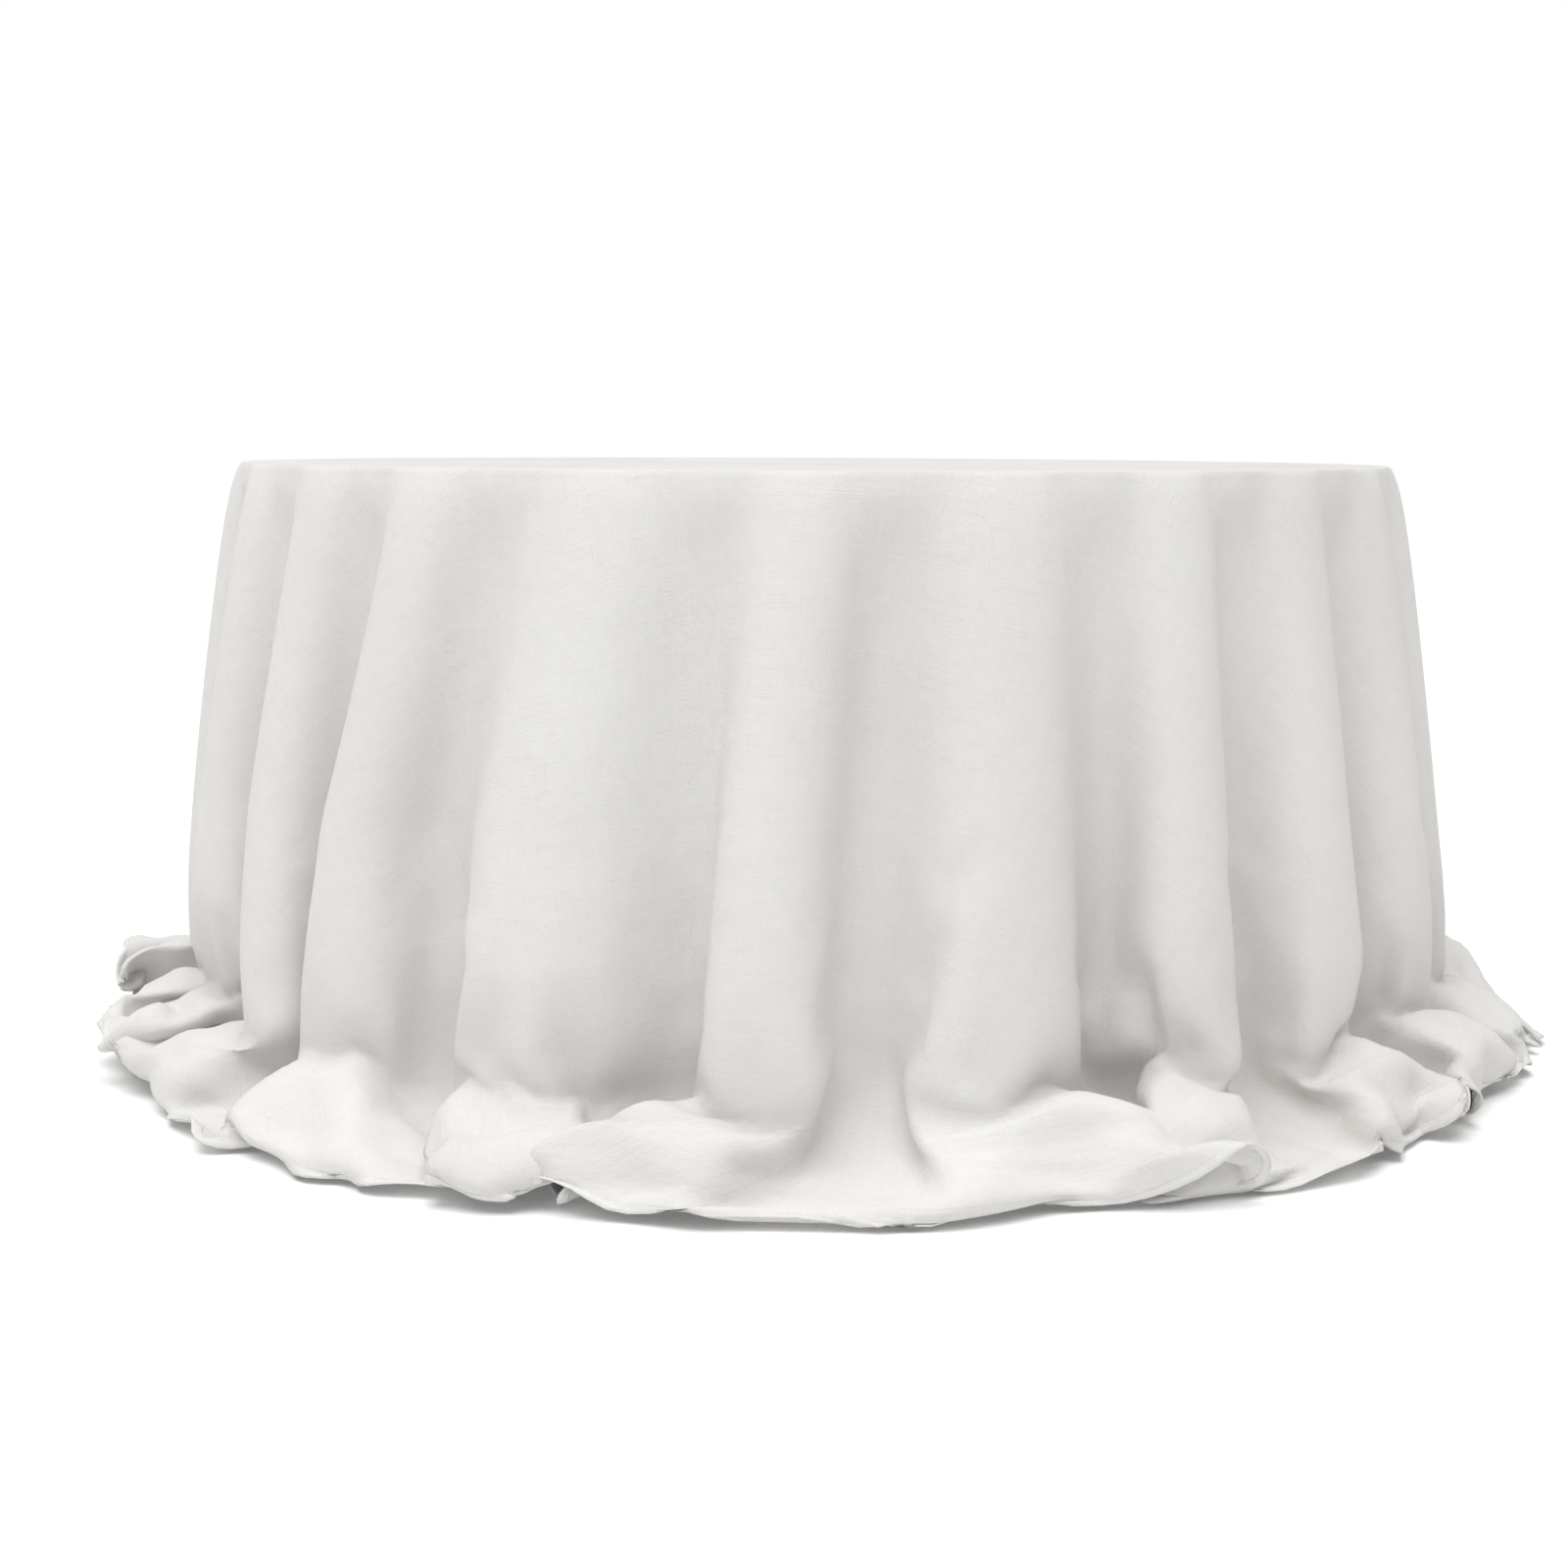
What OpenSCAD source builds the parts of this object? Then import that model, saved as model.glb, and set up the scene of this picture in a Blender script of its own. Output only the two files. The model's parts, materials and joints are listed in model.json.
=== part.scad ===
// Round folding banquet table under a floor-length round tablecloth whose hem lies on the floor.
// Millimetres, +Z up. The origin is on the floor under the middle of the table top.
// The leg frame on the +X side is the right one, and the one on the -X side is the left one.

/* [Table top] */
// Diameter of the table top
top_d = 1524; // [1400:1:1650]
// Height of the table top's face above the floor
top_h = 762; // [720:1:780]
// Thickness of the plywood core
core_t = 30; // [25:1:34]
// Thickness of each laminate sheet
laminate_t = 1; // [0.8:0.1:1.5]
// Thickness of the edge band at its middle
edge_t = 4; // [3:0.5:6]

/* [Leg frames] */
// Distance of each frame's pivot from the middle of the table
pivot_x = 430; // [425:1:450]
// Half the distance between the two legs of a frame
leg_y = 340; // [320:1:360]
// Outer diameter of the bent leg tube
leg_d = 28; // [25:1:28]
// Outer diameter of the stretcher between the legs
stretcher_d = 22; // [18:1:22]
// Wall thickness of the tubes
tube_wall = 1.5; // [1.2:0.1:2]
// Radius of the leg tube's bends at its centre line
bend_r = 60; // [50:1:70]
// Thickness of the wooden cleats over the right frame's straps
cleat_t = 20; // [20:1:24]
// How far the left pivot lies below the right one, so that one frame folds flat under the other
stagger = 36; // [36:1:40]
// How far a stretcher lies below its pivot
stretcher_drop = 300; // [290:1:310]

/* [Braces] */
// Distance of a brace's bracket from the frame's pivot
brace_reach = 350; // [345:1:360]
// Height of the bracket's pin above the frame's pivot, and length of the tab on the stretcher
brace_offset = 23; // [23:0.5:24]
// Width of a brace bar
bar_w = 18; // [16:0.5:18]
// Thickness of a brace bar
bar_t = 4; // [3:0.5:4]

/* [Tablecloth] */
// Thickness of the cloth
cloth_t = 1; // [0.8:0.1:1.5]
// Radius of the draped cloth where it reaches the floor
drape_r = 850; // [830:1:880]
// Radius that the hem reaches on the floor
puddle_r = 960; // [940:1:1000]
// Height of the folds that lie on the floor next to the drape
puddle_h = 14; // [8:1:20]
// Width of the turned and stitched hem
hem_w = 12; // [8:1:20]

/* [Hidden] */
RIGHT = 1;
LEFT = -1;

// The draped part and the part on the floor are one cloth.
// Each is made in sectors, which leave the inside open.
drape_sectors = 8;
DRAPE = [for (i = [1 : drape_sectors]) str("cloth_drape_", i)];
FLOOR = [for (i = [1 : drape_sectors]) str("cloth_floor_", i)];
$fn = 96;

// Overshoot of a cut past the face that it cuts through
past = 1;
// Gap between a pin, or a turning tube, and the hole around it
running_gap = 0.05;

// Table top, from the face down
rim_r = top_d / 2;
core_r = rim_r - edge_t;
core_top = top_h - laminate_t;
core_bottom = core_top - core_t;
top_bottom = core_bottom - laminate_t;

// Straps that hold each leg frame's pivot tube
leg_r = leg_d / 2;
strap_t = 3;
strap_wall = 3.5;
strap_w = 30;
strap_y = 240;
strap_l = 84;
strap_r = leg_r + running_gap + strap_wall;
pivot_drop = 15;
cleat_size = [110, 90];

// Brace brackets, and the pins through them
bracket_plate = [76, 40, 3];
cheek_d = 26;
cheek_t = 2.5;
cheek_gap = 0.4;
pin_r = 4;
pin_head_r = 6.5;
pin_head_t = 2.5;

// Wood screws
screw_r = 2.4;
screw_head_r = 4.5;
screw_head_t = 2.5;
screw_l = 18;
strap_screw_x = 32;
bracket_screw = [28, 12];

// Leg frames
stretcher_r = stretcher_d / 2;
foot_floor_t = 5;
foot_h = 36;
foot_wall = 3;

// Each brace has two bars. They lie in one line when the legs stand,
// and one along the other when they are folded.
bar_gap = 0.15;
brace_run = brace_reach - brace_offset;
brace_fall = stretcher_drop + brace_offset;
brace_l = norm([brace_run, brace_fall]);
brace_angle = atan2(brace_fall, brace_run);
upper_l = (brace_l + brace_reach - stretcher_drop) / 2;
lower_l = brace_l - upper_l;
rivet_r = 6;
rivet_t = 2.5;
tab_t = 4;
tab_gap = 0.3;
tab_y1 = -bar_gap - bar_t - tab_gap;
tab_y0 = tab_y1 - tab_t;

// Cloth
lay_gap = 0.3;
cloth_r = rim_r + lay_gap;
cloth_z = top_h + lay_gap;
cloth_top_z = cloth_z + cloth_t;
hem_lift = 0.4;
hem_in = puddle_r - hem_w;
stitch_in = 3;
thread_r = 0.4;

function cleat_depth(side) = side == RIGHT ? cleat_t : cleat_t + stagger;

function pivot_z(side) = top_bottom - cleat_depth(side) - strap_t - pivot_drop;

// Children at the front and, mirrored, at the back
module front_and_back() {
  mirror([0, 1, 0]) children();
  children();
}

// A cylinder along Y between two places
module along_y(r, y0, y1) {
  translate([0, y0, 0]) rotate([-90, 0, 0]) cylinder(r = r, h = y1 - y0);
}

// A flat outline drawn in X and Z, made solid between two places on Y
module plate_xz(y0, y1) {
  translate([0, y1, 0]) rotate([90, 0, 0]) linear_extrude(y1 - y0) children();
}

// ---- Table top ----

module disc(r, z, h) {
  translate([0, 0, z]) cylinder(r = r, h = h);
}

module tabletop_core() {
  color("burlywood")
    difference() {
      disc(core_r, core_bottom, core_t);
      top_screw_holes();
    }
}

module top_laminate() {
  color("whitesmoke") disc(core_r, core_top, laminate_t);
}

module bottom_laminate() {
  color("peru")
    difference() {
      disc(core_r, top_bottom, laminate_t);
      top_screw_holes();
    }
}

// The band bulges out to its full thickness at the middle of the edge
module edge_band() {
  depth = top_h - top_bottom;
  bulge_r = (depth * depth / 4 + edge_t * edge_t) / (2 * edge_t);
  color("dimgray")
    rotate_extrude()
      intersection() {
        translate([rim_r - bulge_r, top_bottom + depth / 2]) circle(r = bulge_r);
        translate([core_r, top_bottom]) square([edge_t, depth]);
      }
}

// Each frame hangs from a glued wooden block over each strap
module cleats(side) {
  depth = cleat_depth(side);
  color("burlywood")
    difference() {
      front_and_back()
        translate([side * pivot_x - cleat_size[0] / 2, strap_y - cleat_size[1] / 2, top_bottom - depth])
          cube([cleat_size[0], cleat_size[1], depth]);
      at_strap_screws(side) screw_hole();
    }
}

// ---- Brackets, screws and pins ----

module screw_hole() {
  translate([0, 0, -past]) cylinder(r = screw_r, h = screw_l + past);
}

module wood_screw() {
  cylinder(r = screw_r, h = screw_l);
  translate([0, 0, -screw_head_t]) cylinder(r1 = screw_head_r - 1, r2 = screw_head_r, h = screw_head_t);
}

module at_strap_screws(side) {
  front_and_back()
    for (x = [-strap_screw_x, strap_screw_x])
      translate([side * pivot_x + x, strap_y, pivot_z(side) + pivot_drop]) children();
}

module at_bracket_screws(side) {
  front_and_back()
    for (x = [-bracket_screw[0], bracket_screw[0]])
      translate([brace_x(side) + x, bracket_screw[1], top_bottom - bracket_plate[2]]) children();
}

module top_screw_holes() {
  for (side = [RIGHT, LEFT]) at_bracket_screws(side) screw_hole();
}

module pivot_straps(side) {
  color("silver")
    difference() {
      front_and_back()
        translate([side * pivot_x, strap_y - strap_w / 2, pivot_z(side)]) {
          plate_xz(0, strap_w) {
            circle(r = strap_r);
            translate([-strap_r, 0]) square([2 * strap_r, pivot_drop + strap_t]);
          }
          translate([-strap_l / 2, 0, pivot_drop]) cube([strap_l, strap_w, strap_t]);
        }
      translate([side * pivot_x, 0, pivot_z(side)]) along_y(leg_r + running_gap, -leg_y, leg_y);
      at_strap_screws(side) screw_hole();
    }
}

module pivot_strap_screws() {
  color("gray") for (side = [RIGHT, LEFT]) at_strap_screws(side) wood_screw();
}

function brace_x(side) = side * (pivot_x - brace_reach);

// The upper bar lies between the bracket's two cheeks
cheek_in = bar_gap - cheek_gap;
cheek_out = bar_gap + bar_t + cheek_gap;

module at_bracket_pin(side) {
  translate([brace_x(side), 0, pivot_z(side) + brace_offset]) children();
}

module brace_bracket(side) {
  plate_bottom = top_bottom - bracket_plate[2];
  color("silver")
    difference() {
      union() {
        translate([brace_x(side) - bracket_plate[0] / 2, -bracket_plate[1] / 2, plate_bottom])
          cube(bracket_plate);
        at_bracket_pin(side)
          for (y = [cheek_in - cheek_t, cheek_out])
            plate_xz(y, y + cheek_t) {
              circle(d = cheek_d);
              translate([-cheek_d / 2, 0])
                square([cheek_d, plate_bottom + bracket_plate[2] / 2 - pivot_z(side) - brace_offset]);
            }
      }
      at_bracket_pin(side) along_y(pin_r, -bracket_plate[1], bracket_plate[1]);
      at_bracket_screws(side) screw_hole();
    }
}

module brace_bracket_screws() {
  color("gray") for (side = [RIGHT, LEFT]) at_bracket_screws(side) wood_screw();
}

module brace_bracket_pins() {
  head_y0 = cheek_in - cheek_t;
  head_y1 = cheek_out + cheek_t;
  color("gray")
    for (side = [RIGHT, LEFT])
      at_bracket_pin(side) {
        along_y(pin_r, head_y0 - past, head_y1 + past);
        along_y(pin_head_r, head_y1, head_y1 + pin_head_t);
        along_y(pin_head_r, head_y0 - pin_head_t, head_y0);
      }
}

// ---- Leg frames ----

// One tube bent into a U: its top bar is the pivot, and it turns down into a leg at each end
module leg_tube(side, r, bottom) {
  z = pivot_z(side);
  translate([side * pivot_x, 0, 0]) {
    translate([0, 0, z]) along_y(r, -leg_y + bend_r, leg_y - bend_r);
    front_and_back() {
      translate([0, leg_y - bend_r, z - bend_r])
        rotate([90, 0, 90])
          rotate_extrude(angle = 90)
            translate([bend_r, 0]) circle(r = r);
      translate([0, leg_y, bottom]) cylinder(r = r, h = z - bend_r - bottom);
    }
  }
}

module leg_frame(side) {
  color("dimgray")
    difference() {
      leg_tube(side, leg_r, foot_floor_t);
      leg_tube(side, leg_r - tube_wall, foot_floor_t - past);
    }
}

module stretcher(side) {
  color("dimgray")
    translate([side * pivot_x, 0, pivot_z(side) - stretcher_drop])
      difference() {
        along_y(stretcher_r, -leg_y, leg_y);
        along_y(stretcher_r - tube_wall, -leg_y - past, leg_y + past);
        front_and_back()
          translate([0, leg_y, -leg_d]) cylinder(r = leg_r, h = 2 * leg_d);
      }
}

module at_tab_pin(side) {
  translate([side * (pivot_x - brace_offset), 0, pivot_z(side) - stretcher_drop]) children();
}

// An ear welded to the stretcher, which carries the lower bar's pin
module brace_tab(side) {
  color("dimgray")
    at_tab_pin(side)
      difference() {
        plate_xz(tab_y0, tab_y1) {
          circle(d = bar_w);
          translate([side == RIGHT ? 0 : -brace_offset, -bar_w / 2]) square([brace_offset, bar_w]);
        }
        along_y(pin_r, tab_y0 - past, tab_y1 + past);
        translate([side * brace_offset, 0, 0]) along_y(stretcher_r, tab_y0 - past, tab_y1 + past);
      }
}

// The pin ends flush with the lower bar, so that the upper bar folds past it
module tab_pin(side) {
  color("gray")
    at_tab_pin(side) {
      along_y(pin_r, tab_y0 - past, -bar_gap);
      along_y(pin_head_r, tab_y0 - pin_head_t, tab_y0);
    }
}

module foot(side, end) {
  color("black")
    translate([side * pivot_x, end * leg_y, 0])
      difference() {
        cylinder(r = leg_r + foot_wall, h = foot_h);
        translate([0, 0, foot_floor_t]) cylinder(r = leg_r, h = foot_h);
      }
}

// ---- Braces ----

// Children at a distance along the straight brace from the bracket's pin
module along_brace(side, d) {
  at_bracket_pin(side)
    translate([side * d * cos(brace_angle), 0, -d * sin(brace_angle)]) children();
}

module bar(l, y0, y1, turn) {
  difference() {
    plate_xz(y0, y1)
      rotate(turn) {
        circle(d = bar_w);
        translate([0, -bar_w / 2]) square([l, bar_w]);
        translate([l, 0]) circle(d = bar_w);
      }
    along_y(pin_r + running_gap, y0 - past, y1 + past);
  }
}

module upper_brace(side) {
  color("silver")
    along_brace(side, 0)
      bar(upper_l, bar_gap, bar_gap + bar_t, side == RIGHT ? -brace_angle : brace_angle - 180);
}

module lower_brace(side) {
  color("silver")
    along_brace(side, brace_l)
      bar(lower_l, -bar_gap - bar_t, -bar_gap, side == RIGHT ? 180 - brace_angle : brace_angle);
}

// Each bar carries the head of the knee's rivet on its own outer face
module upper_rivet(side) {
  color("gray") along_brace(side, upper_l) along_y(rivet_r, bar_gap + bar_t, bar_gap + bar_t + rivet_t);
}

module lower_rivet(side) {
  color("gray") along_brace(side, upper_l)
    along_y(rivet_r, -bar_gap - bar_t - rivet_t, -bar_gap - bar_t);
}

// ---- Tablecloth ----

module cloth_top() {
  color("white") disc(cloth_r, cloth_z, cloth_t);
}

// Sector number i of a ring, turned from an outline in radius and height
module sector(i) {
  angle = 360 / drape_sectors;
  rotate((i - 1) * angle) rotate_extrude(angle = angle) children();
}

// The cloth hangs straight past the edge band and then flares to the floor
module cloth_drape(i) {
  color("white")
    sector(i)
      polygon([
        [cloth_r, cloth_top_z],
        [cloth_r, top_bottom],
        [drape_r, puddle_h],
        [drape_r + cloth_t, puddle_h],
        [cloth_r + cloth_t, top_bottom],
        [cloth_r + cloth_t, cloth_top_z]
      ]);
}

// The folds that lie on the floor get flatter towards the hem
module cloth_floor(i) {
  color("white")
    sector(i)
      polygon([
        [drape_r, 0],
        [drape_r, puddle_h],
        [drape_r + cloth_t, puddle_h],
        [hem_in, cloth_t],
        [puddle_r, cloth_t],
        [puddle_r, 0]
      ]);
}

module hem() {
  color("white")
    rotate_extrude() translate([hem_in, cloth_t]) square([hem_w, hem_lift]);
}

module hem_thread() {
  color("ivory")
    rotate_extrude() translate([hem_in + stitch_in, cloth_t + hem_lift + thread_r]) circle(r = thread_r);
}

tabletop_core();
top_laminate();
bottom_laminate();
edge_band();
cleats(RIGHT);  // right_cleats
cleats(LEFT);  // left_cleats
pivot_straps(RIGHT);  // right_pivot_straps
pivot_straps(LEFT);  // left_pivot_straps
pivot_strap_screws();
brace_bracket(RIGHT);  // right_brace_bracket
brace_bracket(LEFT);  // left_brace_bracket
brace_bracket_screws();
brace_bracket_pins();
leg_frame(RIGHT);  // right_leg_frame
stretcher(RIGHT);  // right_stretcher
brace_tab(RIGHT);  // right_brace_tab
tab_pin(RIGHT);  // right_tab_pin
foot(RIGHT, -1);  // right_front_foot
foot(RIGHT, 1);  // right_back_foot
leg_frame(LEFT);  // left_leg_frame
stretcher(LEFT);  // left_stretcher
brace_tab(LEFT);  // left_brace_tab
tab_pin(LEFT);  // left_tab_pin
foot(LEFT, -1);  // left_front_foot
foot(LEFT, 1);  // left_back_foot
upper_brace(RIGHT);  // right_upper_brace
upper_rivet(RIGHT);  // right_upper_rivet
lower_brace(RIGHT);  // right_lower_brace
lower_rivet(RIGHT);  // right_lower_rivet
upper_brace(LEFT);  // left_upper_brace
upper_rivet(LEFT);  // left_upper_rivet
lower_brace(LEFT);  // left_lower_brace
lower_rivet(LEFT);  // left_lower_rivet
cloth_top();
for (i = [1 : drape_sectors]) {
  cloth_drape(i);
  cloth_floor(i);
}
hem();
hem_thread();
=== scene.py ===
"""A white round tablecloth that reaches the floor, draped over a round folding banquet table.

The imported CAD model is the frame. The table keeps its CAD shapes and gets its materials here. The cloth,
its sewn hem and the stitches are made here, and stand for the plain CAD solids of the cloth.
All lengths are in metres.
"""

import json
import math

import bmesh
import bpy
import numpy as np
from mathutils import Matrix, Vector


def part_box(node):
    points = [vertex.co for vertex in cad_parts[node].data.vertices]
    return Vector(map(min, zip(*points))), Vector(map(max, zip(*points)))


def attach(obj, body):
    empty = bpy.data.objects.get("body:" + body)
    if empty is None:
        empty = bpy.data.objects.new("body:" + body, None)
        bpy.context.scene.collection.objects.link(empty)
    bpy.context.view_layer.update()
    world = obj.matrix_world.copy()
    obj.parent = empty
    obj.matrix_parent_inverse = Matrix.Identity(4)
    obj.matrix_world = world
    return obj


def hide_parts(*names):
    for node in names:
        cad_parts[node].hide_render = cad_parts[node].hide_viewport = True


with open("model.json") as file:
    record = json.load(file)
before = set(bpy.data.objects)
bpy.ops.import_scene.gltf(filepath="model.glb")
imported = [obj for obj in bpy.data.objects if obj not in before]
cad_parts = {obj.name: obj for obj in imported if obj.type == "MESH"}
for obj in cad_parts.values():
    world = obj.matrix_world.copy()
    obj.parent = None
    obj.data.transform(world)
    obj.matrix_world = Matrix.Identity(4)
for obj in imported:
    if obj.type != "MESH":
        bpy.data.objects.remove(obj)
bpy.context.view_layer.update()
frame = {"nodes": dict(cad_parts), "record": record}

SEED = 7

# Sizes of the cloth and of what it lies on.
CLOTH_RADIUS = 1.6765
TABLE_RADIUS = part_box("edge_band")[1].x
TABLE_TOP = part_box("top_laminate")[1].z
TABLE_EDGE = TABLE_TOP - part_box("edge_band")[0].z
CLOTH_CLEAR = 0.0012    # between the cloth and the table's top
FLOOR_CLEAR = 0.0025    # between the cloth and the floor

# The cloth's mesh. The rim has one more ring close by on either side, so that it bends tightly.
POINTS_ROUND = 340
DROP_RINGS = 40
TOP_RINGS = 4
RIM_BEND = 0.003

# The folds. A valley is at an angle from the front, positive towards the right, in degrees.
FRONT_VALLEYS = (-69, -57, -44.5, -32, -9, 5, 25, 38, 53, 69)
BACK_FOLDS = 17
VALLEY_SCATTER = 2.0      # degrees, of the back's valleys
EVENNESS = 0.6            # at the rim: 0 as uneven as lower down, 1 all folds alike
SPREAD_BY = 0.4           # this far down the drop the folds have their own widths
VALLEY_TIGHTNESS = 0.25   # 0 makes valleys as round as ridges
VALLEY_SHARE = 0.45       # how much of a fold's depth lies inside the drop's mean radius
MOST_SWING = 1.9          # radians, of the cloth's direction in the deepest fold
DROP_FLARE = 0.070        # growth of the mean radius per metre of drop
LEAN_SCATTER = 2.0        # degrees, of a ridge's sideways lean

# Where the lower drop turns outward on to the floor, and how it swirls sideways there.
TURN_START = 0.66
TURN_RADIUS = 0.10
LEAST_TURN_RADIUS = 0.02
TURN_ANGLE = math.radians(45)
TURN_TIGHTEN = 0.3
SWIRL = 0.55
SWIRL_WAVES = ((9, 0.6), (13, 0.4), (6, 0.4))

# The settling of the cloth.
SETTLE_FRAMES = 48
FLOOR_RISE_FRAMES = 22
FENCE_FRAMES = 40
FENCE_RADIUS = 0.970
HEM_REACH = 1.010         # no point of the cloth is farther out than this
HOLD = 0.5                # how firmly the upper drop is held, which fades out from HOLD_FROM to HOLD_TO
HOLD_FROM = 0.45
HOLD_TO = 0.70

# The rolled hem: a flat tube's section, as (distance in from the edge, distance off the cloth's middle).
HEM_WIDTH = 0.012
HEM_HALF = 0.0008
HEM_SEAM = HEM_WIDTH - 0.0016
HEM_SEAM_HALF = 0.75 * HEM_HALF
HEM_SECTION = (
    (-0.0006, 0.0),
    (-0.0002, HEM_HALF),
    (0.5 * HEM_WIDTH, 1.15 * HEM_HALF),
    (HEM_SEAM, HEM_SEAM_HALF),
    (HEM_WIDTH, 0.9 * HEM_HALF),
    (HEM_WIDTH, -0.9 * HEM_HALF),
    (HEM_SEAM, -HEM_SEAM_HALF),
    (0.5 * HEM_WIDTH, -1.15 * HEM_HALF),
    (-0.0002, -HEM_HALF),
)

# The stitches: each is a short rod with tapered ends, given as (place, thickness) shares along it.
STITCH_PITCH = 0.005
STITCH_LENGTH = 0.0036
STITCH_HALF_WIDTH = 0.0003
STITCH_STATIONS = ((-0.5, 0.35), (-0.3, 1.0), (0.3, 1.0), (0.5, 0.35))
STITCH_CORNERS = ((1, 0), (0, 1), (-1, 0), (0, -1))

# Colours of the cloth.
CLOTH_LIGHT = (0.765, 0.762, 0.755)
CLOTH_SHADE = (0.705, 0.693, 0.672)

# The floor and the light.
FLOOR_REACH = 30.0
FLOOR_LEVEL = -0.0004     # just under the feet, so that they don't share a face with it
FLOOR_GLOW = 0.10
SURROUND_SEEN = 1.0
SURROUND_LIGHT = 0.48
SURROUND_TINT = (1.0, 0.99, 0.975, 1.0)
WHITE = (1.0, 1.0, 1.0, 1.0)
KEY_PLACE = (-1.0, -4.4, 2.9)
KEY_AIM = (0, 0, 0.35)
KEY_SIZE = 1.4
KEY_POWER = 14
OVERHEAD_POWER = 2.4
OVERHEAD_WIDTH = math.radians(50)
OVERHEAD_TILT = (math.radians(12), math.radians(-6), 0)

# The camera.
CAMERA_DISTANCE = 3.273
CAMERA_HEIGHT = 0.7986
CAMERA_LENS = 54.5
CAMERA_SENSOR = 36.0
CAMERA_PITCH = math.radians(8.33)
CAMERA_YAW = math.radians(0.685)
CAMERA_ROLL = math.radians(0.25)


# ---------------------------------------------------------------- small helpers

def mesh_object(name, points, faces, smooth=True):
    """A new mesh object in the scene."""
    mesh = bpy.data.meshes.new(name)
    mesh.from_pydata([tuple(map(float, p)) for p in points], [], faces)
    mesh.update()
    if smooth:
        mesh.shade_smooth()
    obj = bpy.data.objects.new(name, mesh)
    bpy.context.collection.objects.link(obj)
    return obj


def lathe(name, profile, steps):
    """A surface of revolution about Z, from (radius, height) pairs."""
    turn = 2 * np.pi * np.arange(steps) / steps
    points = [(r * math.cos(a), r * math.sin(a), z) for r, z in profile for a in turn]
    faces = []
    for row in range(len(profile) - 1):
        a, b = row * steps, (row + 1) * steps
        for i in range(steps):
            j = (i + 1) % steps
            faces.append((a + i, a + j, b + j, b + i))
    return mesh_object(name, points, faces)


# ---------------------------------------------------------------- the cloth before it settles

def fold_heading(u, swing):
    """The cloth's direction along one fold, from valley (u = 0) over the ridge to valley (u = 1)."""
    return swing * (np.sin(2 * np.pi * u) + VALLEY_TIGHTNESS * np.sin(4 * np.pi * u))


def fold_curve(swing, steps=200):
    """One fold of arc length 1: (share of its length, share of its width, distance out)."""
    heading = fold_heading((np.arange(steps) + 0.5) / steps, swing)
    along = np.concatenate([[0.0], np.cumsum(np.cos(heading))]) / steps
    out = np.concatenate([[0.0], np.cumsum(np.sin(heading))]) / steps
    return np.linspace(0, 1, steps + 1), along / along[-1], out


def swing_table(steps=200, rows=400):
    """Two arrays: a fold's width as a share of its length, and the swing that gives it."""
    u = (np.arange(steps) + 0.5) / steps
    swings = np.linspace(0, MOST_SWING, rows)
    widths = np.array([np.cos(fold_heading(u, s)).mean() for s in swings])
    return widths, swings


def fold_bounds(rng):
    """Angles of the valleys, in degrees, the first one repeated at the end: at the rim, and lower down.

    At the rim the folds are more even. So a fold that is wide lower down has less cloth in it, and is
    shallow.
    """
    first, last = FRONT_VALLEYS[0], FRONT_VALLEYS[-1]
    gap = (360 + first - last) / BACK_FOLDS
    back = [last + gap * i + rng.normal(0, VALLEY_SCATTER) for i in range(1, BACK_FOLDS)]
    low = np.array(list(FRONT_VALLEYS) + back + [first + 360.0])
    even_front = np.linspace(first, last, len(FRONT_VALLEYS))
    even_back = last + gap * np.arange(1, BACK_FOLDS + 1)
    even = np.concatenate([even_front, even_back])
    return low + EVENNESS * (even - low), low


def swirl(phi, rng):
    """A smooth sideways drift of the lower drop, so that its lobes fall apart and on to each other."""
    drift = 0
    for waves, share in SWIRL_WAVES:
        drift = drift + share * np.sin(waves * phi + rng.uniform(0, 2 * np.pi))
    return drift


def turn_profile(s, out):
    """(radius beyond the drop's foot, depth below the top) of points s down the drop.

    out is how far the point's fold stands out of the drop's mean surface.
    """
    radius = np.maximum(TURN_RADIUS - TURN_TIGHTEN * out, LEAST_TURN_RADIUS)
    angle = np.clip((s - TURN_START) / radius, 0, TURN_ANGLE)
    rest = np.maximum(0, s - TURN_START - radius * TURN_ANGLE)
    spare = (1 - TURN_TIGHTEN) * out
    reach = TURN_RADIUS - radius * np.cos(angle) + rest * np.sin(angle) + spare * np.cos(angle)
    depth = TURN_START + radius * np.sin(angle) + rest * np.cos(angle) - spare * np.sin(angle)
    return reach, depth


def fold_ring(drop, mean_r, rim_bounds, low_bounds, fold, u, table):
    """(distance out, angle in radians) of each point of one ring, folded to the mean radius.

    fold and u say which fold a point is in and how far across it, and table is the swing_table.
    """
    widths, swings = table
    flat_r = TABLE_RADIUS + drop
    bounds = rim_bounds + (low_bounds - rim_bounds) * min(1.0, drop / SPREAD_BY)
    rim_widths = np.diff(rim_bounds)
    off, turned = np.zeros(len(u)), np.zeros(len(u))
    for k in range(len(rim_widths)):
        mine = fold == k
        wide = bounds[k + 1] - bounds[k]
        share = min(1.0, mean_r * wide / (flat_r * rim_widths[k]))
        lengths, across, out = fold_curve(float(np.interp(-share, -widths, swings)))
        rise = np.interp(u[mine], lengths, out) - VALLEY_SHARE * np.interp(0.5, lengths, out)
        off[mine] = rise * flat_r * math.radians(rim_widths[k])
        turned[mine] = np.radians(bounds[k] + wide * np.interp(u[mine], lengths, across))
    return off, turned


def circle(radius, angles, height):
    """Points of a ring, at angles from the front; radius, angles and height may each be an array."""
    return np.stack([radius * np.sin(angles), -radius * np.cos(angles), height], 1)


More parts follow.
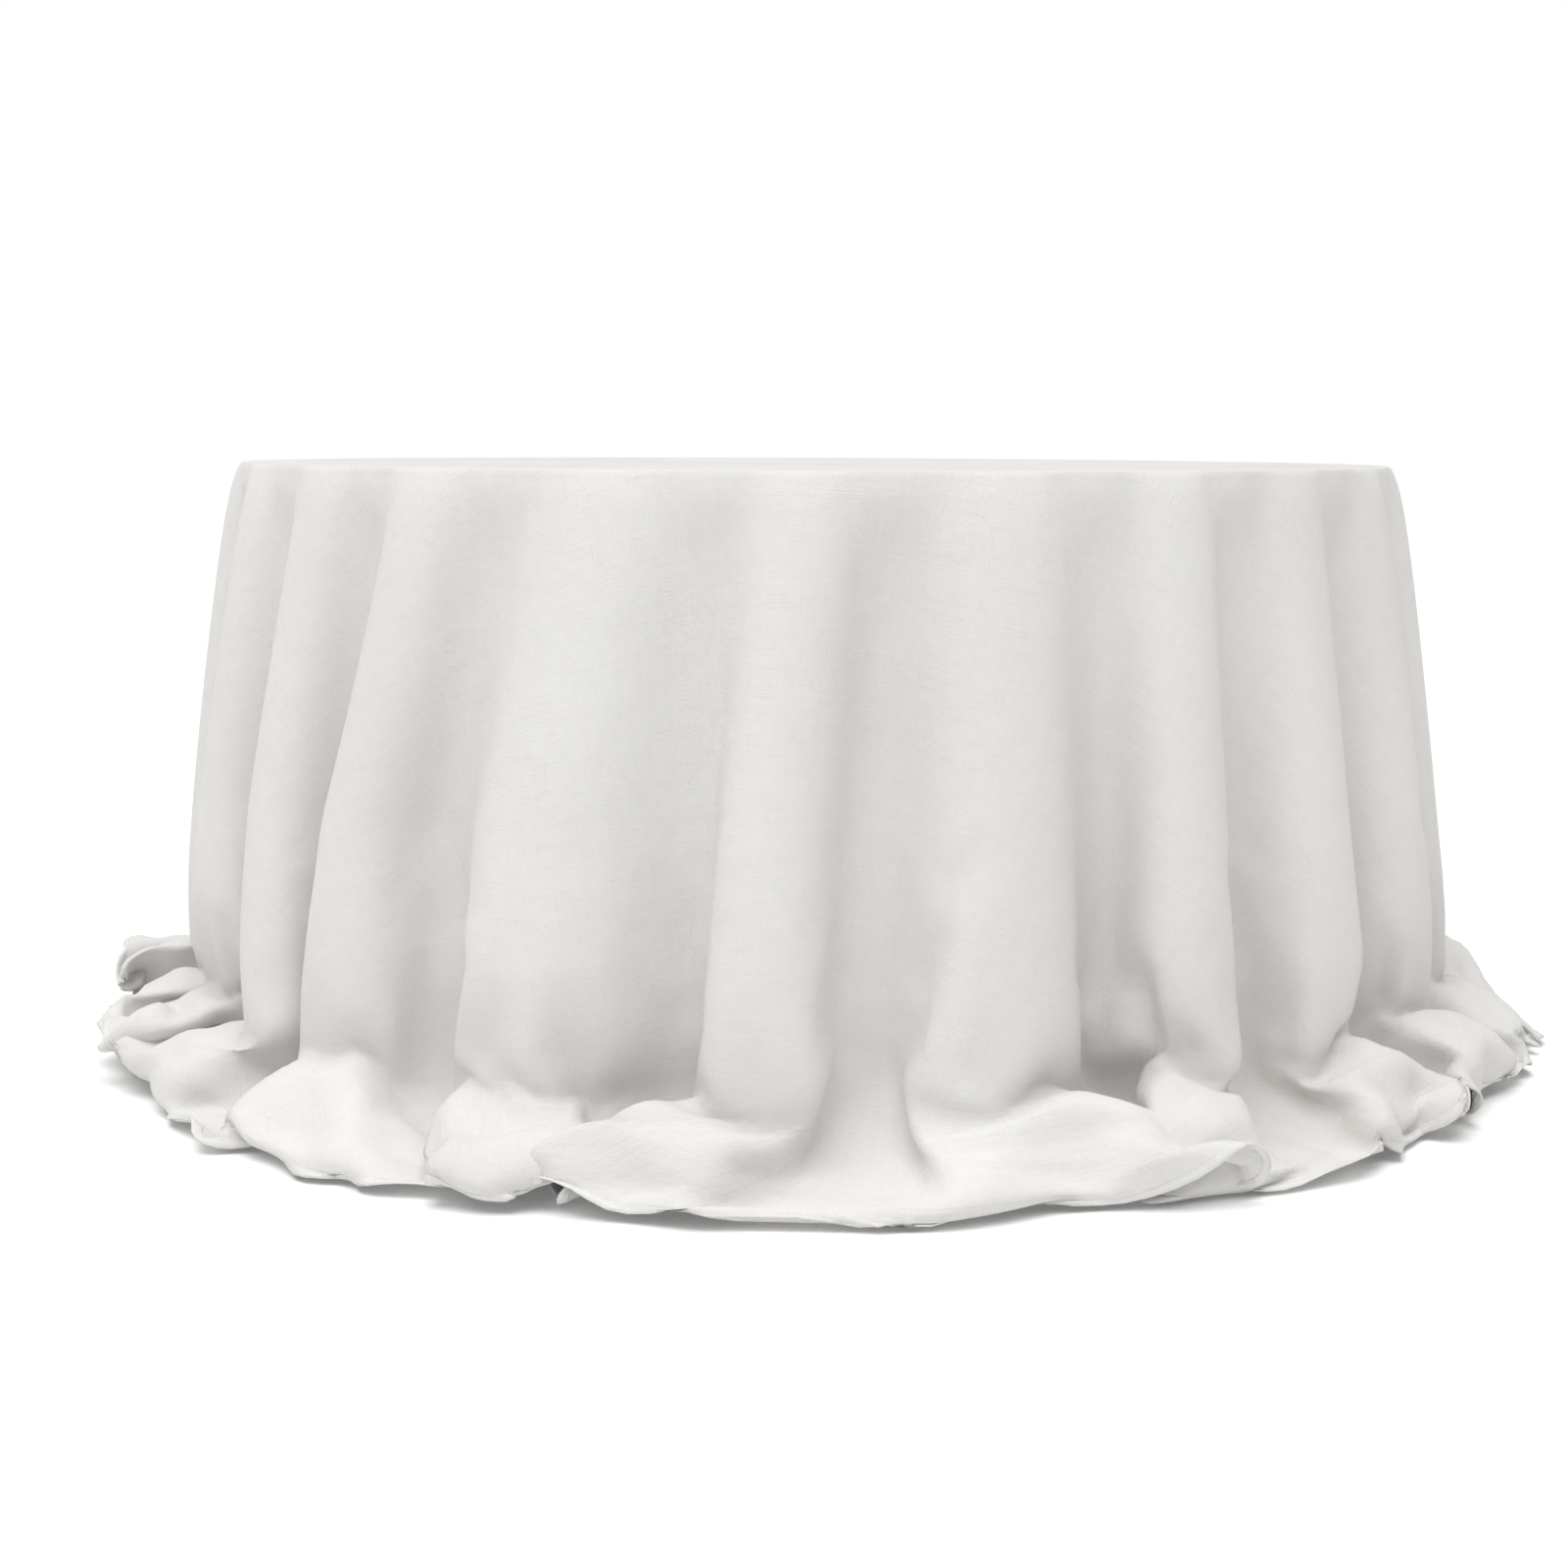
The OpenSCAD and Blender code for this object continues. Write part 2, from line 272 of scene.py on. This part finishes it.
def build_cloth():
    """Points before settling, the same points flat, faces, and each point's distance from the centre."""
    rng = np.random.default_rng(SEED)
    rim_bounds, low_bounds = fold_bounds(rng)
    folds = len(rim_bounds) - 1
    turn = rim_bounds[0] + 360 * np.arange(POINTS_ROUND) / POINTS_ROUND
    phi = np.radians(turn)
    fold = np.clip(np.searchsorted(rim_bounds, turn, side="right") - 1, 0, folds - 1)
    rim_widths = np.diff(rim_bounds)
    u = (turn - rim_bounds[fold]) / rim_widths[fold]
    lean = np.radians(rng.normal(0, LEAN_SCATTER, folds))[fold] * np.sin(np.pi * u)
    drift = SWIRL * swirl(phi, rng)
    table = swing_table()
    start_r, start_z = TABLE_RADIUS + CLOTH_CLEAR, TABLE_TOP + CLOTH_CLEAR
    level = np.full(POINTS_ROUND, start_z)

    top_radii = [0.95 * TABLE_RADIUS * (k + 1) / TOP_RINGS for k in range(TOP_RINGS)]
    top_radii.append(start_r - RIM_BEND)
    drops = np.linspace(0, CLOTH_RADIUS - TABLE_RADIUS, DROP_RINGS)
    drops = np.insert(drops, 1, RIM_BEND)
    rings = [circle(r, phi, level) for r in top_radii]
    for s in drops:
        foot = start_r + DROP_FLARE * min(s, TURN_START + TURN_RADIUS * TURN_ANGLE)
        mean_r = foot + turn_profile(s, 0.0)[0] if s > TURN_START else foot
        off, turned = fold_ring(s, mean_r, rim_bounds, low_bounds, fold, u, table)
        if s > TURN_START:
            reach, depth = turn_profile(s, off)
            r, z = foot + reach, start_z - depth
        else:
            r, z = foot + off, level - s
        if s < TABLE_EDGE:
            r = np.maximum(r, start_r)
        psi = turned + lean * (s / TABLE_TOP) ** 1.5
        psi = psi + drift * max(0.0, s - TURN_START) / start_r
        rings.append(circle(r, psi, z))

    points = np.concatenate(rings)
    radii = np.repeat(top_radii + list(TABLE_RADIUS + drops), POINTS_ROUND)
    flat = circle(radii, np.tile(phi, len(rings)), np.full(len(radii), start_z))
    faces = []
    for k in range(len(rings) - 1):
        a, b = k * POINTS_ROUND, (k + 1) * POINTS_ROUND
        for j in range(POINTS_ROUND):
            nxt = (j + 1) % POINTS_ROUND
            faces.append((a + j, b + j, b + nxt, a + nxt))
    return points, flat, faces, radii


# ---------------------------------------------------------------- the cloth settles

def make_collider(obj, friction):
    """obj stops the cloth while it settles."""
    obj.modifiers.new("collision", "COLLISION")
    obj.collision.thickness_outer = 0.003
    obj.collision.thickness_inner = 0.05
    obj.collision.cloth_friction = friction
    obj.collision.damping = 0.5
    return obj


def table_collider():
    """The table's top and its rounded edge, made a little smaller than the cloth held on it."""
    corner, gap_beside, gap_below = 0.004, 0.004, 0.008
    inner_r, under_r, under_drop = 0.3, 0.026, 0.002
    edge_r = TABLE_RADIUS + CLOTH_CLEAR - gap_beside
    top_z = TABLE_TOP + CLOTH_CLEAR - gap_below
    profile = [(edge_r - under_r, top_z - TABLE_EDGE - under_drop), (edge_r, top_z - TABLE_EDGE)]
    for a in np.radians(np.linspace(0, 90, 6)):
        profile.append((edge_r - corner + corner * math.cos(a), top_z - corner + corner * math.sin(a)))
    profile.append((inner_r, top_z))
    return make_collider(lathe("settle_table", profile, 180), friction=10)


def floor_collider(lowest):
    """The floor, with a low cone inside it that keeps the valleys out, coming up under the cloth."""
    profile = [(3.0, 0.0), (0.71, 0.0), (0.68, 0.003), (0.62, 0.05), (0.52, 0.07)]
    floor = make_collider(lathe("settle_floor", profile, 96), friction=8)
    floor.location.z = lowest
    floor.keyframe_insert("location", frame=1)
    floor.location.z = 0
    floor.keyframe_insert("location", frame=1 + FLOOR_RISE_FRAMES)
    for curve in floor.animation_data.action.fcurves:
        for key in curve.keyframe_points:
            key.interpolation = "LINEAR"
    return floor


def fence_collider():
    """A wall that stops the hem from spreading too far as it lands, and is then lifted away."""
    top, bottom, out_of_the_way = 0.25, -0.1, 0.6
    wall = lathe("settle_fence", [(FENCE_RADIUS, top), (FENCE_RADIUS, bottom)], 120)
    fence = make_collider(wall, friction=1)
    fence.keyframe_insert("location", frame=1)
    fence.keyframe_insert("location", frame=FENCE_FRAMES)
    fence.location.z = out_of_the_way
    fence.keyframe_insert("location", frame=FENCE_FRAMES + 1)
    return fence


def hold_weight(s):
    """How firmly a point s down the drop is held: wholly on the table, not at all near the floor."""
    if s < 2 * RIM_BEND:
        return 1.0
    return HOLD * min(1.0, max(0.0, (HOLD_TO - s) / (HOLD_TO - HOLD_FROM)))


def add_cloth_modifier(cloth, hold_group, rest_key):
    """Light polyester: it bends easily, hardly stretches, and rubs on itself."""
    modifier = cloth.modifiers.new("Cloth", "CLOTH")
    settings = modifier.settings
    settings.quality = 5
    settings.mass = 0.1
    settings.air_damping = 1
    settings.bending_model = "ANGULAR"
    settings.tension_stiffness = 40
    settings.compression_stiffness = 40
    settings.shear_stiffness = 20
    settings.bending_stiffness = 0.002
    settings.tension_damping = 5
    settings.compression_damping = 5
    settings.shear_damping = 5
    settings.bending_damping = 0.1
    settings.vertex_group_mass = hold_group
    settings.pin_stiffness = 1
    settings.rest_shape_key = rest_key
    touch = modifier.collision_settings
    touch.use_collision = True
    touch.distance_min = 0.003
    touch.collision_quality = 2
    touch.use_self_collision = True
    touch.self_distance_min = 0.004
    touch.self_friction = 5
    modifier.point_cache.frame_start = 1
    modifier.point_cache.frame_end = SETTLE_FRAMES


def settle(points, flat, faces, radii):
    """The points after they fall as Blender's cloth, with the flat cloth as the shape without strain."""
    cloth = mesh_object("settle_cloth", points, faces)
    cloth.shape_key_add(name="Basis")
    flat_key = cloth.shape_key_add(name="flat")
    flat_key.data.foreach_set("co", flat.ravel())
    flat_key.value = 0
    group = cloth.vertex_groups.new(name="hold")
    for i, radius in enumerate(radii):
        weight = hold_weight(radius - TABLE_RADIUS)
        if weight > 0.001:
            group.add([i], weight, "REPLACE")
    lowest = min(0.0, float(points[:, 2].min()) - 0.006)
    colliders = [table_collider(), floor_collider(lowest), fence_collider()]
    add_cloth_modifier(cloth, group.name, flat_key)

    scene = bpy.context.scene
    scene.frame_start, scene.frame_end = 1, SETTLE_FRAMES
    for f in range(1, SETTLE_FRAMES + 1):
        scene.frame_set(f)
    evaluated = cloth.evaluated_get(bpy.context.evaluated_depsgraph_get())
    settled = np.empty(len(points) * 3)
    evaluated.data.vertices.foreach_get("co", settled)
    for obj in [cloth] + colliders:
        bpy.data.objects.remove(obj)
    scene.frame_set(1)
    return settled.reshape(-1, 3)


def close_top(cloth):
    """Fills the round hole in the cloth's middle, which stays open until the mesh is subdivided."""
    work = bmesh.new()
    work.from_mesh(cloth.data)
    plan = work.loops.layers.uv["plan"]
    rim = []
    for edge in work.edges:
        reach = max(v.co.xy.length for v in edge.verts)
        if edge.is_boundary and reach < 0.5 * TABLE_RADIUS:
            rim.append(edge)
    for face in bmesh.ops.contextual_create(work, geom=rim)["faces"]:
        face.smooth = True
        for corner in face.loops:
            corner[plan].uv = corner.vert.co.xy
    work.to_mesh(cloth.data)
    work.free()


def keep_within(points):
    """Moves points that are under the floor, or farther out than the hem reaches, back inside."""
    points[:, 2] = np.maximum(points[:, 2], FLOOR_CLEAR)
    out = np.hypot(points[:, 0], points[:, 1])
    points[:, :2] *= np.minimum(1.0, HEM_REACH / out)[:, None]


def make_tablecloth():
    """The settled cloth, subdivided once, with its flat plan in metres as its UV map."""
    points, flat, faces, radii = build_cloth()
    points = settle(points, flat, faces, radii)
    keep_within(points)
    cloth = mesh_object("tablecloth", points, faces)
    uv = cloth.data.uv_layers.new(name="plan")
    loops = np.empty(len(cloth.data.loops), dtype=np.int32)
    cloth.data.loops.foreach_get("vertex_index", loops)
    uv.data.foreach_set("uv", flat[loops, :2].astype(np.float32).ravel())
    subdivide = cloth.modifiers.new("subdivide", "SUBSURF")
    subdivide.levels = subdivide.render_levels = 1
    subdivide.uv_smooth = "NONE"
    bpy.context.view_layer.objects.active = cloth
    cloth.select_set(True)
    bpy.ops.object.modifier_apply(modifier=subdivide.name)
    cloth.select_set(False)
    close_top(cloth)
    return cloth


# ---------------------------------------------------------------- the hem and its stitches

def edge_rows(cloth):
    """The cloth's outermost ring and the ring inside it, in order, as two arrays of points."""
    mesh = cloth.data
    open_edges = {}
    used = {}
    for face in mesh.polygons:
        for key in face.edge_keys:
            used[key] = used.get(key, 0) + 1
    for (a, b), count in used.items():
        if count == 1:
            open_edges.setdefault(a, []).append(b)
            open_edges.setdefault(b, []).append(a)
    start = min(open_edges)
    loop, previous = [start], None
    while True:
        a, b = open_edges[loop[-1]]
        step = b if a == previous else a
        if step == start:
            break
        previous = loop[-1]
        loop.append(step)
    inward = {}
    on_edge = set(loop)
    for a, b in used:
        if (a in on_edge) != (b in on_edge):
            inward[a if a in on_edge else b] = b if a in on_edge else a
    outer = np.array([mesh.vertices[i].co for i in loop])
    inner = np.array([mesh.vertices[inward[i]].co for i in loop])
    return outer, inner


def hem_frames(outer, inner):
    """Unit vectors at each point of the edge: inward along the cloth, and off its face."""
    inward = inner - outer
    inward /= np.linalg.norm(inward, axis=1)[:, None]
    along = np.roll(outer, -1, 0) - np.roll(outer, 1, 0)
    off = np.cross(along, inward)
    off /= np.linalg.norm(off, axis=1)[:, None]
    return inward, off


def make_hem(outer, inward, off):
    """The rolled hem: a flat tube round the edge, with the fine pucker of its stitching."""
    rng = np.random.default_rng(SEED + 1)
    count = len(outer)
    pucker = 0.5 * HEM_HALF * rng.uniform(-1, 1, count)
    points, faces = [], []
    for i in range(count):
        for a, b in HEM_SECTION:
            swell = math.copysign(pucker[i], b) * (b != 0)
            points.append(outer[i] + a * inward[i] + (b + swell) * off[i])
    n = len(HEM_SECTION)
    for i in range(count):
        j = (i + 1) % count
        for k in range(n):
            m = (k + 1) % n
            faces.append((i * n + k, i * n + m, j * n + m, j * n + k))
    return mesh_object("cloth_hem", points, faces)


def make_stitches(outer, inward, off):
    """The lockstitch along the hem's inner edge, on both faces."""
    count = len(outer)
    steps = int(2 * math.pi * CLOTH_RADIUS / STITCH_PITCH)
    place = np.arange(steps) * count / steps
    low = place.astype(int) % count
    high = (low + 1) % count
    share = (place % 1)[:, None]

    def at(rows):
        return rows[low] * (1 - share) + rows[high] * share

    along = outer[high] - outer[low]
    along /= np.linalg.norm(along, axis=1)[:, None]
    base = at(outer + HEM_SEAM * inward)
    across, normal = at(inward), at(off)
    sides = len(STITCH_CORNERS)
    points, faces = [], []
    for face_side in (1, -1):
        height = face_side * (HEM_SEAM_HALF + 0.6 * STITCH_HALF_WIDTH)
        for i in range(steps):
            first = len(points)
            for shift, size in STITCH_STATIONS:
                middle = base[i] + shift * STITCH_LENGTH * along[i] + height * size * normal[i]
                for a, b in STITCH_CORNERS:
                    points.append(middle + STITCH_HALF_WIDTH * size * (a * across[i] + b * normal[i]))
            last = len(points) - sides
            for row in range(first, last, sides):
                for m in range(sides):
                    n = (m + 1) % sides
                    faces.append((row + m, row + n, row + sides + n, row + sides + m))
            faces.append(tuple(first + m for m in reversed(range(sides))))
            faces.append(tuple(last + m for m in range(sides)))
    return mesh_object("hem_stitches", points, faces)


# ---------------------------------------------------------------- materials

class Finish:
    """A Principled material under construction, with short calls for its noise, mixing and bump."""

    def __init__(self, name, roughness, metallic=0.0, sheen=0.0, coat=0.0, specular=0.5):
        self.material = bpy.data.materials.new(name)
        self.material.use_nodes = True
        self.nodes = self.material.node_tree.nodes
        self.links = self.material.node_tree.links
        self.shader = self.nodes["Principled BSDF"]
        self.shader.inputs["Roughness"].default_value = roughness
        self.shader.inputs["Metallic"].default_value = metallic
        self.shader.inputs["Sheen Weight"].default_value = sheen
        self.shader.inputs["Coat Weight"].default_value = coat
        self.shader.inputs["Specular IOR Level"].default_value = specular
        self.coordinates = self.nodes.new("ShaderNodeTexCoord")
        self.height = None

    def place(self, scale, source="Object"):
        """Texture coordinates, scaled along each axis."""
        mapping = self.nodes.new("ShaderNodeMapping")
        mapping.inputs["Scale"].default_value = scale
        self.links.new(self.coordinates.outputs[source], mapping.inputs["Vector"])
        return mapping.outputs["Vector"]

    def noise(self, scale, detail=3.0, roughness=0.5, stretch=(1, 1, 1), source="Object"):
        """Noise from 0 to 1."""
        node = self.nodes.new("ShaderNodeTexNoise")
        node.inputs["Scale"].default_value = scale
        node.inputs["Detail"].default_value = detail
        node.inputs["Roughness"].default_value = roughness
        self.links.new(self.place(stretch, source), node.inputs["Vector"])
        return node.outputs["Fac"]

    def bands(self, scale, direction, distortion=0.0, source="Object", stretch=(1, 1, 1)):
        """Waves from 0 to 1 along one axis."""
        node = self.nodes.new("ShaderNodeTexWave")
        node.wave_type = "BANDS"
        node.bands_direction = direction
        node.inputs["Scale"].default_value = scale
        node.inputs["Distortion"].default_value = distortion
        self.links.new(self.place(stretch, source), node.inputs["Vector"])
        return node.outputs["Fac"]

    def cells(self, scale):
        """Distance to the nearest of many scattered points."""
        node = self.nodes.new("ShaderNodeTexVoronoi")
        node.inputs["Scale"].default_value = scale
        self.links.new(self.place((1, 1, 1)), node.inputs["Vector"])
        return node.outputs["Distance"]

    def ramp(self, value, low, high, out_low=0.0, out_high=1.0):
        """value between low and high, spread over out_low to out_high."""
        node = self.nodes.new("ShaderNodeMapRange")
        node.inputs["From Min"].default_value = low
        node.inputs["From Max"].default_value = high
        node.inputs["To Min"].default_value = out_low
        node.inputs["To Max"].default_value = out_high
        self.links.new(value, node.inputs["Value"])
        return node.outputs["Result"]

    def math(self, operation, a, b):
        """One sum or product of two values, where b may be a number."""
        node = self.nodes.new("ShaderNodeMath")
        node.operation = operation
        self.links.new(a, node.inputs[0])
        if isinstance(b, (int, float)):
            node.inputs[1].default_value = b
        else:
            self.links.new(b, node.inputs[1])
        return node.outputs["Value"]

    def mix(self, factor, a, b):
        """A colour between a and b, each a colour or a node's output."""
        node = self.nodes.new("ShaderNodeMix")
        node.data_type = "RGBA"
        self.links.new(factor, node.inputs["Factor"])
        for socket, colour in ((node.inputs[6], a), (node.inputs[7], b)):
            if isinstance(colour, tuple):
                socket.default_value = colour + (1.0,)
            else:
                self.links.new(colour, socket)
        return node.outputs[2]

    def colour(self, output):
        """The shader's colour comes from output."""
        self.links.new(output, self.shader.inputs["Base Color"])

    def rough(self, output):
        """The shader's roughness comes from output."""
        self.links.new(output, self.shader.inputs["Roughness"])

    def bump(self, height, distance, strength=1.0):
        """Adds one layer of bump, distance metres high."""
        node = self.nodes.new("ShaderNodeBump")
        node.inputs["Strength"].default_value = strength
        node.inputs["Distance"].default_value = distance
        self.links.new(height, node.inputs["Height"])
        if self.height is not None:
            self.links.new(self.height, node.inputs["Normal"])
        self.height = node.outputs["Normal"]
        self.links.new(self.height, self.shader.inputs["Normal"])


def fabric(name, light, shade, source):
    """Matte white plain-weave polyester, with uneven threads and faint creases."""
    f = Finish(name, roughness=0.85, sheen=0.12, specular=0.2)
    warp = f.noise(1.0, detail=2, stretch=(900, 14, 14), source=source)
    weft = f.noise(1.0, detail=2, stretch=(14, 900, 14), source=source)
    threads = f.math("ADD", warp, weft)
    weave = f.math("MULTIPLY", f.bands(500, "X", source=source), f.bands(500, "Y", source=source))
    cloud = f.noise(2.2, detail=3, source=source)
    crease = f.noise(17, detail=4, roughness=0.55, source=source)
    tone = f.math("ADD", f.ramp(cloud, 0.3, 0.7, 0.0, 0.7), f.ramp(threads, 0.6, 1.4, 0.0, 0.5))
    f.colour(f.mix(tone, light, shade))
    f.rough(f.ramp(threads, 0.6, 1.4, 0.78, 0.92))
    f.bump(crease, 0.0035, 0.8)
    f.bump(threads, 0.0008, 0.8)
    f.bump(weave, 0.00012, 0.5)
    return f.material


def thread(name):
    """Spun sewing thread with its twist."""
    f = Finish(name, roughness=0.7, sheen=0.2)
    twist = f.bands(900, "DIAGONAL", distortion=1.0)
    f.colour(f.mix(twist, (0.74, 0.74, 0.73), (0.84, 0.84, 0.83)))
    f.bump(twist, 0.0001)
    return f.material


def laminate():
    """Satin pale grey laminate with a fine speckle and light scuffs."""
    f = Finish("laminate", roughness=0.35, coat=0.15)
    speckle = f.noise(420, detail=2)
    scuffs = f.ramp(f.noise(3, detail=8, roughness=0.75, stretch=(1, 6, 1)), 0.55, 0.75)
    f.colour(f.mix(f.ramp(speckle, 0.4, 0.6), (0.60, 0.59, 0.55), (0.68, 0.67, 0.63)))
    f.rough(f.ramp(scuffs, 0, 1, 0.30, 0.48))
    f.bump(speckle, 0.0002, 0.3)
    return f.material


def backer():
    """Matte brown backing sheet, sanded and slightly blotched."""
    f = Finish("backer", roughness=0.75)
    sanding = f.noise(60, detail=4, stretch=(1, 12, 1))
    blotch = f.noise(4, detail=5)
    f.colour(f.mix(f.ramp(blotch, 0.35, 0.65), (0.15, 0.09, 0.05), (0.22, 0.14, 0.085)))
    f.rough(f.ramp(sanding, 0.3, 0.7, 0.65, 0.85))
    f.bump(sanding, 0.0003, 0.4)
    return f.material


def vinyl():
    """Black vinyl edge with a fine leather grain and rubbed places."""
    f = Finish("edge_vinyl", roughness=0.5)
    grain = f.cells(700)
    rub = f.ramp(f.noise(7, detail=6, roughness=0.7), 0.55, 0.75)
    f.colour(f.mix(rub, (0.018, 0.018, 0.018), (0.05, 0.05, 0.05)))
    f.rough(f.ramp(rub, 0, 1, 0.42, 0.62))
    f.bump(grain, 0.0004, 0.4)
    return f.material


def plywood():
    """Birch plywood: long grain with pores, and plies seen at the edges."""
    f = Finish("plywood", roughness=0.6)
    plies = f.bands(120, "Z", distortion=0.6)
    grain = f.noise(1.0, detail=6, roughness=0.6, stretch=(140, 6, 6))
    face = f.mix(f.ramp(grain, 0.35, 0.65), (0.43, 0.27, 0.13), (0.58, 0.40, 0.22))
    f.colour(f.mix(f.ramp(plies, 0.45, 0.95, 0.0, 0.45), face, (0.30, 0.17, 0.08)))
    f.rough(f.ramp(grain, 0.3, 0.7, 0.5, 0.75))
    f.bump(grain, 0.0004, 0.5)
    return f.material


def leg_paint():
    """Hammered dark grey powder coat, worn lighter where it is handled."""
    f = Finish("leg_paint", roughness=0.4, specular=0.5)
    hammer = f.cells(330)
    wear = f.ramp(f.noise(16, detail=8, roughness=0.75), 0.58, 0.72)
    f.colour(f.mix(wear, (0.035, 0.036, 0.04), (0.11, 0.11, 0.115)))
    f.rough(f.ramp(hammer, 0.0, 0.7, 0.28, 0.5))
    f.bump(hammer, 0.0008, 0.5)
    return f.material


def zinc():
    """Bright zinc plate with its spangle and fine rolling marks."""
    f = Finish("zinc", roughness=0.3, metallic=1.0)
    spangle = f.cells(260)
    marks = f.noise(90, detail=4, stretch=(1, 1, 14))
    f.colour(f.mix(spangle, (0.56, 0.57, 0.59), (0.70, 0.71, 0.73)))
    f.rough(f.ramp(marks, 0.3, 0.7, 0.22, 0.42))
    f.bump(marks, 0.0002, 0.4)
    return f.material


def foot_plastic():
    """Matte black moulded plastic with scuffed soles."""
    f = Finish("foot_plastic", roughness=0.65)
    texture = f.noise(900, detail=2)
    scuff = f.ramp(f.noise(40, detail=6, roughness=0.7), 0.55, 0.7)
    f.colour(f.mix(scuff, (0.012, 0.012, 0.012), (0.04, 0.04, 0.038)))
    f.rough(f.ramp(scuff, 0, 1, 0.6, 0.8))
    f.bump(texture, 0.0002, 0.4)
    return f.material


def dress_frame():
    """Each CAD node that shows gets the material of its slot."""
    finishes = {
        "laminate": laminate(),
        "backer": backer(),
        "edge_vinyl": vinyl(),
        "plywood": plywood(),
        "leg_paint": leg_paint(),
        "zinc": zinc(),
        "foot_plastic": foot_plastic(),
    }
    for part in frame["record"]["subparts"]:
        node = frame["nodes"].get(part["node"])
        finish = finishes.get(part.get("material_slot"))
        if node is None or finish is None:
            continue
        node.data.materials.clear()
        node.data.materials.append(finish)


# ---------------------------------------------------------------- floor, light and camera

def make_floor():
    """A plain white floor."""
    f = Finish("floor", roughness=0.9, specular=0.1)
    f.colour(f.mix(f.noise(3), (0.86, 0.86, 0.86), (0.88, 0.88, 0.88)))
    f.shader.inputs["Emission Color"].default_value = WHITE
    f.shader.inputs["Emission Strength"].default_value = FLOOR_GLOW
    corners = [(x * FLOOR_REACH, y * FLOOR_REACH, 0) for x, y in ((-1, -1), (1, -1), (1, 1), (-1, 1))]
    floor = mesh_object("floor", corners, [(0, 1, 2, 3)], smooth=False)
    floor.location.z = FLOOR_LEVEL
    floor.data.materials.append(f.material)


def area_light(name, place, aim, size, power):
    """A soft square lamp."""
    lamp = bpy.data.lights.new(name, "AREA")
    lamp.size = size
    lamp.energy = power
    obj = bpy.data.objects.new(name, lamp)
    obj.location = place
    obj.rotation_euler = (Vector(aim) - Vector(place)).to_track_quat("-Z", "Y").to_euler()
    bpy.context.collection.objects.link(obj)


def make_light():
    """A bright white surround, a soft key from the front left above, and a broad overhead light."""
    world = bpy.data.worlds.new("studio")
    bpy.context.scene.world = world
    world.use_nodes = True
    nodes, links = world.node_tree.nodes, world.node_tree.links
    seen = nodes.new("ShaderNodeBackground")
    seen.inputs["Color"].default_value = WHITE
    seen.inputs["Strength"].default_value = SURROUND_SEEN
    lit = nodes["Background"]
    lit.inputs["Color"].default_value = SURROUND_TINT
    lit.inputs["Strength"].default_value = SURROUND_LIGHT
    path = nodes.new("ShaderNodeLightPath")
    mix = nodes.new("ShaderNodeMixShader")
    links.new(path.outputs["Is Camera Ray"], mix.inputs["Fac"])
    links.new(lit.outputs["Background"], mix.inputs[1])
    links.new(seen.outputs["Background"], mix.inputs[2])
    links.new(mix.outputs["Shader"], nodes["World Output"].inputs["Surface"])
    area_light("key", KEY_PLACE, KEY_AIM, KEY_SIZE, KEY_POWER)
    sun = bpy.data.lights.new("overhead", "SUN")
    sun.energy = OVERHEAD_POWER
    sun.angle = OVERHEAD_WIDTH
    overhead = bpy.data.objects.new("overhead", sun)
    overhead.rotation_euler = OVERHEAD_TILT
    bpy.context.collection.objects.link(overhead)


def make_camera():
    """The camera stands in front, just above the table top, and looks down a little."""
    data = bpy.data.cameras.new("camera")
    data.lens = CAMERA_LENS
    data.sensor_width = CAMERA_SENSOR
    data.clip_end = 100.0
    camera = bpy.data.objects.new("camera", data)
    camera.rotation_mode = "XYZ"
    camera.location = (0.0, -CAMERA_DISTANCE, CAMERA_HEIGHT)
    aim = Vector((-math.sin(CAMERA_YAW), math.cos(CAMERA_YAW), -math.tan(CAMERA_PITCH)))
    turn = aim.to_track_quat("-Z", "Y").to_matrix().to_4x4()
    camera.rotation_euler = turn.to_euler()
    camera.rotation_euler.rotate_axis("Z", CAMERA_ROLL)
    bpy.context.collection.objects.link(camera)
    bpy.context.scene.camera = camera


# ---------------------------------------------------------------- the scene

make_camera()
cloth = make_tablecloth()
outer, inner = edge_rows(cloth)
inward, off = hem_frames(outer, inner)
hem = make_hem(outer, inward, off)
stitches = make_stitches(outer, inward, off)

cloth.data.materials.append(fabric("tablecloth_weave", CLOTH_LIGHT, CLOTH_SHADE, "UV"))
hem.data.materials.append(fabric("hem_weave", CLOTH_LIGHT, CLOTH_SHADE, "Object"))
stitches.data.materials.append(thread("hem_thread_spun"))

for piece in (cloth, hem, stitches):
    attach(piece, "tablecloth")
drape_nodes = [n for n in frame["nodes"] if n.startswith(("cloth_top", "cloth_drape_", "cloth_floor_"))]
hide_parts(*sorted(drape_nodes))
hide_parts("hem")
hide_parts("hem_thread")

dress_frame()
make_floor()
make_light()
bpy.context.scene.view_settings.view_transform = "Standard"
